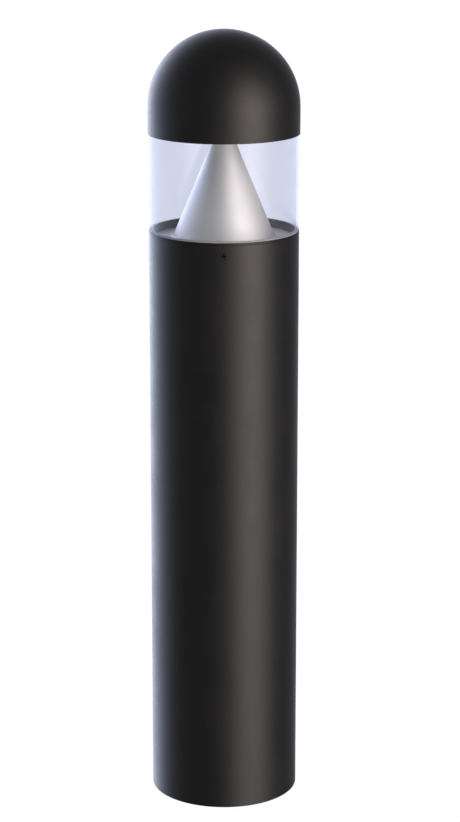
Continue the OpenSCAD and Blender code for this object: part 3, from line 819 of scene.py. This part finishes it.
# %% [markdown]
# ### Silicone, rubber and plastics
# Soft and moulded pieces scatter light inside, so their colour is a mix of two close tones, their
# gloss wanders, and a fine grain from the mould breaks it up. One recipe serves them all, with its
# tones, gloss and grain as settings. The dull black one is not a plastic: it stands in for the deep
# shade in the screws' cross recesses.

# %% Mix the moulded finishes
def moulded(name, light, dark, roughness, grain=900, depth=0.00002, **sockets):
    plastic = Finish(name, **sockets)
    cloud = plastic.noise(40, 3, 0.55)
    fine = plastic.noise(grain, 3, 0.6)
    colour = plastic.blend(plastic.band(cloud, 0.3, 0.7), light, dark)
    shine = plastic.math("ADD", plastic.band(cloud, 0.3, 0.7, roughness - 0.04, roughness + 0.04),
                         plastic.band(fine, 0.3, 0.7, -0.03, 0.03))
    return plastic.set(Base_Color=colour, Roughness=shine, Normal=plastic.bump(fine, depth))


silicone = moulded("clear_silicone", (0.72, 0.72, 0.74), (0.64, 0.64, 0.67), 0.35)
rubber = moulded("black_rubber", (0.022, 0.022, 0.023), (0.014, 0.014, 0.015), 0.62)
white_plastic = moulded("white_plastic", (0.78, 0.78, 0.76), (0.72, 0.72, 0.70), 0.38)
cream_plastic = moulded("cream_plastic", (0.70, 0.66, 0.56), (0.62, 0.58, 0.49), 0.42)
driver_case = moulded("driver_case", (0.74, 0.74, 0.72), (0.66, 0.66, 0.65), 0.46, 700, 0.00006)
# painted shade: a dull black that stands in for the deep shade inside the screws' cross recesses
painted_shade_black = moulded("painted_shade_pit", (0.004, 0.004, 0.004), (0.003, 0.003, 0.003), 0.8,
                    Specular_IOR_Level=0.1)

# %% Mix the wires' sleeves
WIRE_TONES = {
    "wire_brown": (0.10, 0.035, 0.014), "wire_blue": (0.02, 0.11, 0.42), "wire_green": (0.09, 0.33, 0.05),
    "wire_red": (0.48, 0.015, 0.012), "wire_black": (0.016, 0.016, 0.018),
}
wire_finish = {name: moulded(name, tone, tuple(value * 0.75 for value in tone), 0.36, 1400)
               for name, tone in WIRE_TONES.items()}
print("sleeves:", *wire_finish)


# %% [markdown]
# ### Bare and plated metals
# Zinc plate on the small steel parts is bluish and faintly mottled, raw aluminium has a fine cast
# skin, tinned copper is soft and bright, the weld beads are rippled and tinted by their heat, and
# the lock screws are blackened. They differ in tone, gloss and grain only, so they share one recipe.

# %% Mix the metals
def bare_metal(name, light, dark, roughness, mottle, grain, depth, stretch=(1, 1, 1)):
    metal = Finish(name, metallic=1.0)
    patch = metal.noise(mottle, 4, 0.6, distortion=0.6)
    fine = metal.noise(grain, 3, 0.6, stretch)
    colour = metal.blend(metal.band(patch, 0.32, 0.68), light, dark)
    shine = metal.math("ADD", metal.band(patch, 0.3, 0.7, roughness - 0.05, roughness + 0.07),
                       metal.band(fine, 0.3, 0.7, -0.04, 0.04))
    return metal.set(Base_Color=colour, Roughness=shine, Normal=metal.bump(fine, depth))


zinc = bare_metal("zinc_plate", (0.62, 0.64, 0.68), (0.48, 0.50, 0.55), 0.34, 90, 1500, 0.000012)
cast_aluminium = bare_metal("heat_sink_aluminium", (0.66, 0.67, 0.68), (0.58, 0.59, 0.61), 0.42,
                            60, 1100, 0.00003)
tinned_copper = bare_metal("tinned_copper", (0.74, 0.72, 0.68), (0.64, 0.61, 0.57), 0.28,
                           130, 1800, 0.00001)
weld = bare_metal("weld_bead", (0.30, 0.29, 0.29), (0.16, 0.13, 0.12), 0.45, 220, 420, 0.00035)
black_oxide = bare_metal("black_oxide", (0.055, 0.055, 0.058), (0.035, 0.035, 0.037), 0.36,
                         300, 2400, 0.00001)
print("metals:", zinc.name, cast_aluminium.name, tinned_copper.name, weld.name, black_oxide.name)


# %% [markdown]
# ### Board and phosphor
# The board is aluminium under a white solder mask, through which the copper tracks show as a hardly
# raised relief. The phosphor is a grainy yellow gel, and the lamp is switched off, so it only
# reflects.

# %% Mix the board and the phosphor
board = Finish("white_solder_mask", Coat_Weight=0.3, Coat_Roughness=0.2)
tracks = board.node("ShaderNodeTexVoronoi", feature="DISTANCE_TO_EDGE")
tracks.inputs["Scale"].default_value = 90
board.put(board.place, tracks.inputs["Vector"])
relief = board.band(tracks.outputs["Distance"], 0.03, 0.09)
white_mask = board.set(
    Base_Color=board.blend(relief, (0.70, 0.71, 0.68), (0.80, 0.80, 0.78)),
    Roughness=board.band(board.noise(500, 3), 0.3, 0.7, 0.34, 0.46),
    Normal=board.bump(relief, 0.00004))

gel = Finish("yellow_phosphor", Subsurface_Weight=0.2, Subsurface_Scale=0.001)
phosphor = gel.set(
    Base_Color=gel.blend(gel.noise(2500, 4, 0.7), (0.80, 0.52, 0.06), (0.86, 0.66, 0.16)),
    Roughness=gel.band(gel.noise(1500, 2), 0.3, 0.7, 0.28, 0.42),
    Normal=gel.bump(gel.noise(3000, 2), 0.00002))
package = moulded("emitter_package", (0.84, 0.84, 0.82), (0.78, 0.78, 0.77), 0.4, 2000)
print("board:", white_mask.name, phosphor.name, package.name)


# %% [markdown]
# ## Dressing the pieces
# Each new piece gets its finish, rides on the body that carries it, and stands for the node that it
# replaces. The frame's own nodes keep their shape and only get a finish in their material slot.

# %% Dress the new pieces
def dress(piece, finish, body, node):
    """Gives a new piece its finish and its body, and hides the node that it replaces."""
    piece.data.materials.clear()
    piece.data.materials.append(finish)
    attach(piece, body)
    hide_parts(node)


dress(shaft, shaft_coat, "shaft", "shaft_tube")
for side, number in (("front", 1), ("right", 2), ("left", 3)):
    dress(lock_screws[side], black_oxide, side + "_lock", f"lock_screw_{number}")
dress(collar, casting_coat, "head", "collar")
dress(lens, clear_tube, "head", "lens")
dress(lower_seal, silicone, "head", "lens_gasket_lower")
dress(upper_seal, silicone, "head", "lens_gasket_upper")
dress(cone, spun_aluminium, "head", "cone_reflector")
dress(dome, casting_coat, "head", "dome")
dress(emitters, package, "head", "leds")
dress(connector, white_plastic, "head", "led_connector")
dress(line, wire_finish["wire_brown"], "head", "line_wire")
dress(neutral, wire_finish["wire_blue"], "head", "neutral_wire")
dress(bond, wire_finish["wire_green"], "head", "bond_wire")
dress(positive, wire_finish["wire_red"], "head", "led_wire_positive")
dress(negative, wire_finish["wire_black"], "head", "led_wire_negative")

# %% Fill the emitters with phosphor
emitters.data.materials.append(phosphor)
filled = 0
for face in emitters.data.polygons:
    if face.normal.z < -0.9 and face.center.z > (tub_low + 0.2) * MM:
        face.material_index = 1
        filled += 1
print("phosphor faces:", filled)

# %% Paint some faces with a second finish
def paint_faces(piece, finish, test):
    """Gives a second finish to the faces whose middle and normal pass the test."""
    piece.data.materials.append(finish)
    faces = [face for face in piece.data.polygons if test(face.center, face.normal)]
    for face in faces:
        face.material_index = 1
    print(piece.name + ":", len(faces), "faces of", finish.name)


# %% Paint shade black into the cross recesses, and paint light grey onto the wall of the collar's recess
def down_the_recess(azimuth):
    """Tests whether a face lies inside the cross recess of the lock screw at an azimuth."""
    outward = Vector((math.cos(math.radians(azimuth)), math.sin(math.radians(azimuth)), 0))
    axis = Vector((0, 0, lock_height * MM))

    def test(middle, normal):
        along = (middle - axis).dot(outward)
        aside = (middle - axis - along * outward).length
        bottom, top = lock_face - RECESS_DEPTH - 0.8, lock_face - 0.05
        return aside < (lock_r - 1.2) * MM and bottom * MM < along < top * MM
    return test


for side, azimuth in LOCKS.items():
    # painted shade: the faces inside each cross recess get the dull black
    paint_faces(lock_screws[side], painted_shade_black, down_the_recess(azimuth))
# painted light: the inner wall of the collar's recess gets the light grey coat
paint_faces(collar, painted_light_recess_coat, lambda middle, normal:
            middle.z > floor_high * MM and middle.xy.dot(normal.xy) < -0.5 * middle.xy.length)

# %% Dress the nodes that stay
FINISH_OF_SLOT = {
    "black_steel": shaft_coat, "black_cast_aluminium": casting_coat, "black_screw": black_oxide,
    "spun_aluminium": spun_aluminium, "heat_sink_aluminium": cast_aluminium, "zinc_steel": zinc,
    "weld_steel": weld, "tinned_copper": tinned_copper, "black_rubber": rubber,
    "clear_polycarbonate": clear_cover, "board_white": white_mask, "white_plastic": white_plastic,
    "cream_plastic": cream_plastic, "driver_case": driver_case, "clear_silicone": silicone,
}
dressed = 0
for name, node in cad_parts.items():
    for place in node.material_slots:
        finish = FINISH_OF_SLOT.get(place.material.name)
        if finish:
            place.material = finish
            dressed += 1
print("nodes dressed:", dressed)


# %% [markdown]
# ## Studio
# A plain pale floor, a white backdrop and large soft lights. The lights are painted on the world as
# soft upright bands, as tall diffusers round the lamp would be: a warm one to the front right, a cool
# and wider one behind the left, and a low, narrow one next to that, which brightens the left edge of
# the shaft. Only what the camera sees directly is plain white.

# %% Lay the floor
FLOOR_SIDE, FLOOR_DROP = 30, 0.2  # metres, and millimetres below the foot
bpy.ops.object.select_all(action="DESELECT")
bpy.ops.mesh.primitive_plane_add(size=FLOOR_SIDE, location=(0, 0, -FLOOR_DROP * MM))
floor = bpy.context.object
floor.name = "floor"
floor.visible_glossy = False
floor.visible_diffuse = False
pale = Finish("pale_floor", roughness=0.9, Specular_IOR_Level=0.0)
grain = pale.noise(3, 3)
pale.set(Base_Color=pale.blend(grain, (0.25, 0.25, 0.25), (0.26, 0.26, 0.26)),
         Emission_Color=(1, 1, 1, 1), Emission_Strength=0.935)
floor.data.materials.append(pale.material)
print("floor:", FLOOR_SIDE, "m a side")

# %% Add nodes to the world
world = bpy.data.worlds.new("studio")
bpy.context.scene.world = world
world.use_nodes = True
sky = world.node_tree
sky.nodes.clear()


def sky_node(kind, *values, **settings):
    """Adds a node to the world and fills its inputs in order."""
    made = sky.nodes.new(kind)
    for name, value in settings.items():
        setattr(made, name, value)
    for value, socket in zip(values, made.inputs):
        if isinstance(value, bpy.types.NodeSocket):
            sky.links.new(value, socket)
        elif value is not None:
            socket.default_value = value
    return made.outputs


def sky_math(operation, *values):
    """One sum in the world's nodes."""
    return sky_node("ShaderNodeMath", *values, operation=operation)[0]


# %% Paint a soft light on the world
direction = sky_node("ShaderNodeTexCoord")["Generated"]
dx, dy, dz = sky_node("ShaderNodeSeparateXYZ", direction)
flat = sky_node("ShaderNodeVectorMath", sky_node("ShaderNodeCombineXYZ", dx, dy, 0.0)[0],
                operation="NORMALIZE")[0]


def soft_band(bearing, tightness, low, high, colour, strength):
    """A tall soft light at a bearing in degrees from the front towards +X, between two heights that
    are given as sines of their elevation, each with the sine over which it fades."""
    angle = math.radians(bearing - 90)
    centre = (math.cos(angle), math.sin(angle), 0)
    along = sky_node("ShaderNodeVectorMath", flat, centre, operation="DOT_PRODUCT")["Value"]
    glow = sky_math("EXPONENT", sky_math("MULTIPLY", sky_math("SUBTRACT", along, 1.0), tightness))
    rise = sky_node("ShaderNodeMapRange", dz, low[0], low[1], 0.0, 1.0,
                    interpolation_type="SMOOTHSTEP")[0]
    fall = sky_node("ShaderNodeMapRange", dz, high[0], high[1], 1.0, 0.0,
                    interpolation_type="SMOOTHSTEP")[0]
    power = sky_math("MULTIPLY", sky_math("MULTIPLY", glow, sky_math("MULTIPLY", rise, fall)), strength)
    return sky_node("ShaderNodeVectorMath", (colour[0], colour[1], colour[2]), None, None, power,
                    operation="SCALE")[0]


# %% Set the three lights and the backdrop
DIM_BELOW, DIM_ABOVE = 0.15, 0.16
warm = soft_band(bearing=43.3, tightness=9.3, low=(-0.75, -0.15), high=(0.0, 0.98),
                 colour=(1.0, 0.89, 0.82), strength=3.76)
cool = soft_band(bearing=-147, tightness=4.6, low=(-0.9, -0.4), high=(0.02, 0.88),
                 colour=(0.71, 0.785, 1.03), strength=2.3)
rim = soft_band(bearing=-158, tightness=14.0, low=(-0.45, -0.15), high=(-0.05, 0.45),
                colour=(0.76, 0.82, 1.0), strength=1.9)
ambient = sky_node("ShaderNodeMapRange", dz, -1.0, 1.0, DIM_BELOW, DIM_ABOVE)[0]
grey = sky_node("ShaderNodeVectorMath", (1.0, 1.0, 1.03), None, None, ambient, operation="SCALE")[0]
total = grey
for light in (warm, cool, rim):
    total = sky_node("ShaderNodeVectorMath", total, light, operation="ADD")[0]
seen = sky_node("ShaderNodeLightPath")["Is Camera Ray"]
sky_node("ShaderNodeMix", data_type="RGBA")
mixer = sky.nodes[-1]
sky.links.new(seen, mixer.inputs[0])
sky.links.new(total, mixer.inputs[6])
mixer.inputs[7].default_value = (1, 1, 1, 1)
background = sky_node("ShaderNodeBackground", mixer.outputs[2], 1.0)[0]
sky.links.new(background, sky.nodes.new("ShaderNodeOutputWorld").inputs["Surface"])
print("world nodes:", len(sky.nodes))


# %% [markdown]
# A cone inside a tube is hard to light, so a studio holds white cards to it. Here the cards are very
# wide, weak suns, and a dim disc stands for the light that the white board throws back at the tip.
# Their light is linked to the cone alone, and so are their shadows, because real cards would be moved
# about until the dome no longer shaded the cone.

# %% Hold the cards to the cone
cone_only = bpy.data.collections.new("lit_by_the_cards")
cone_only.objects.link(cone)


def cone_light(name, kind, energy, colour, tilt=0.0, bearing=0.0, height=0.0, **settings):
    """A light that reaches the cone alone, tilted up from straight down and turned to a bearing."""
    light = bpy.data.objects.new(name, bpy.data.lights.new(name, kind))
    light.data.energy = energy
    light.data.color = colour
    for setting, value in settings.items():
        setattr(light.data, setting, value)
    light.rotation_euler = (math.radians(tilt), 0, math.radians(bearing))
    light.location = (0, 0, height * MM)
    light.visible_camera = False
    light.light_linking.receiver_collection = cone_only
    light.light_linking.blocker_collection = cone_only
    bpy.context.scene.collection.objects.link(light)


cone_light("front_card", "SUN", 0.56, (0.95, 0.97, 1.0), tilt=70, bearing=40, angle=math.radians(179))
cone_light("left_card", "SUN", 0.50, (0.80, 0.88, 1.0), tilt=60, bearing=-120, angle=math.radians(80))
cone_light("right_card", "SUN", 0.14, (1.0, 0.95, 0.92), tilt=60, bearing=66, angle=math.radians(60))
cone_light("board_glow", "AREA", 0.019, (1.0, 0.99, 1.0), height=groove_high, shape="DISK", size=0.17)
print("lights on the cone:", len(bpy.data.lights))
